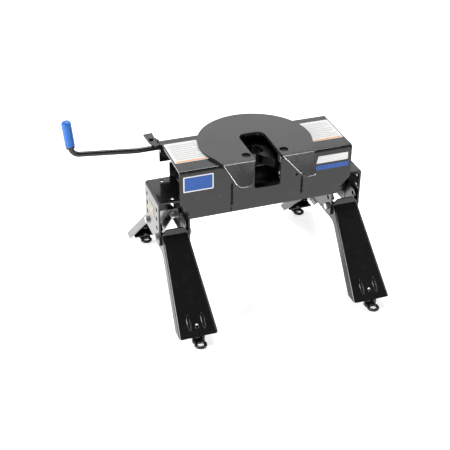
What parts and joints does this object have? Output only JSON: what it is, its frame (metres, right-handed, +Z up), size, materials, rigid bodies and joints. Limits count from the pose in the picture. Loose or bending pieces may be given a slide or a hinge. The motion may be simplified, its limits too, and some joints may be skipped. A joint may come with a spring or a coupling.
{
  "type": "fifth wheel hitch",
  "caption": "Truck-bed fifth wheel hitch: slotted skid plate on a rocking head with clamp jaws and a pull handle, carried by drilled uprights on splayed channel legs with pinned feet",
  "frame": {"origin": "on the plane of the bed rails, midway between the feet, which is the bottom edge of every leg", "axes": "+Z up, +Y toward the truck's cab, -Y toward the tailgate where the king pin enters, +X toward the passenger's side; the handle points to -X"},
  "size_m": [0.8613, 0.6275, 0.5606],
  "materials": {
    "black_paint": "glossy black powder coat",
    "zinc_plate": "bright zinc plate",
    "bare_steel": "dark oiled machined steel",
    "blue_grip": "smooth blue dipped vinyl",
    "black_collar": "black plastic"
  },
  "bodies": {
    "base": {"left_upright": "black_paint", "right_upright": "black_paint", "left_bushing": "black_collar", "right_bushing": "black_collar", "leg_bolts": "zinc_plate", "leg_nuts": "zinc_plate", "rear_left_leg": "black_paint", "rear_left_foot_tab": "black_paint", "rear_right_leg": "black_paint", "rear_right_foot_tab": "black_paint", "front_left_leg": "black_paint", "front_left_foot_tab": "black_paint", "front_right_leg": "black_paint", "front_right_foot_tab": "black_paint"},
    "pivot": {"pivot_beam": "black_paint", "left_trunnion": "black_paint", "right_trunnion": "black_paint", "trunnion_clips": "zinc_plate", "roll_sleeve": "black_paint"},
    "head": {"head_shell": "black_paint", "throat_plate": "black_paint", "rear_brace": "black_paint", "front_brace": "black_paint", "skid_plate": "black_paint", "jaw_cage": "black_paint", "jaw_spacers": "zinc_plate", "left_jaw_pin": "bare_steel", "right_jaw_pin": "bare_steel", "jaw_pin_clips": "zinc_plate", "roll_pin": "zinc_plate", "roll_spacers": "black_paint", "handle_bracket": "black_paint", "latch_bolt": "black_paint", "spring_washer": "zinc_plate", "return_spring": "zinc_plate"},
    "left_clamp": {"left_jaw": "bare_steel", "left_tail_pin": "bare_steel"},
    "right_clamp": {"right_jaw": "bare_steel", "right_tail_pin": "bare_steel"},
    "handle": {"lock_plate": "black_paint", "drop_link": "black_paint", "handle_bar": "black_paint", "grip": "blue_grip", "grip_collar": "black_collar", "spring_collar": "zinc_plate"},
    "latch": {"secondary_latch": "black_paint"},
    "rear_left_pin": {"rear_left_pull_pin": "black_paint"},
    "rear_right_pin": {"rear_right_pull_pin": "black_paint"},
    "front_left_pin": {"front_left_pull_pin": "black_paint"},
    "front_right_pin": {"front_right_pull_pin": "black_paint"}
  },
  "joints": [
    {"name": "head_pitch", "type": "hinge", "parent": "base", "child": "pivot", "pos_m": [0, 0, 0.285], "axis": [1, 0, 0], "range_deg": [-10, 10]},
    {"name": "head_roll", "type": "hinge", "parent": "pivot", "child": "head", "pos_m": [0, 0, 0.285], "axis": [0, 1, 0], "range_deg": [-5, 5]},
    {"name": "handle_pull", "type": "slide", "parent": "head", "child": "handle", "axis": [-1, 0, 0], "range_m": [0, 0.085], "stiffness_N_per_m": 250, "springref_m": -0.02, "deforming": ["return_spring"]},
    {"name": "left_jaw_swing", "type": "hinge", "parent": "head", "child": "left_clamp", "pos_m": [-0.0565, -0.077, 0.377], "axis": [0, 0, 1], "range_deg": [0, 22]},
    {"name": "right_jaw_swing", "type": "hinge", "parent": "head", "child": "right_clamp", "pos_m": [0.0565, -0.077, 0.377], "axis": [0, 0, -1], "range_deg": [0, 22]},
    {"name": "latch_swing", "type": "hinge", "parent": "head", "child": "latch", "pos_m": [-0.277, 0.117, 0.415], "axis": [0, 0, -1], "range_deg": [0, 40]},
    {"name": "rear_left_pin_pull", "type": "slide", "parent": "base", "child": "rear_left_pin", "axis": [0, -1, 0], "range_m": [0, 0.05]},
    {"name": "rear_right_pin_pull", "type": "slide", "parent": "base", "child": "rear_right_pin", "axis": [0, -1, 0], "range_m": [0, 0.05]},
    {"name": "front_left_pin_pull", "type": "slide", "parent": "base", "child": "front_left_pin", "axis": [0, -1, 0], "range_m": [0, 0.05]},
    {"name": "front_right_pin_pull", "type": "slide", "parent": "base", "child": "front_right_pin", "axis": [0, -1, 0], "range_m": [0, 0.05]}
  ],
  "couplings": [
    {"joint": "left_jaw_swing", "follows": "handle_pull", "rad_per_m": 4.517},
    {"joint": "right_jaw_swing", "follows": "handle_pull", "rad_per_m": 4.517}
  ]
}
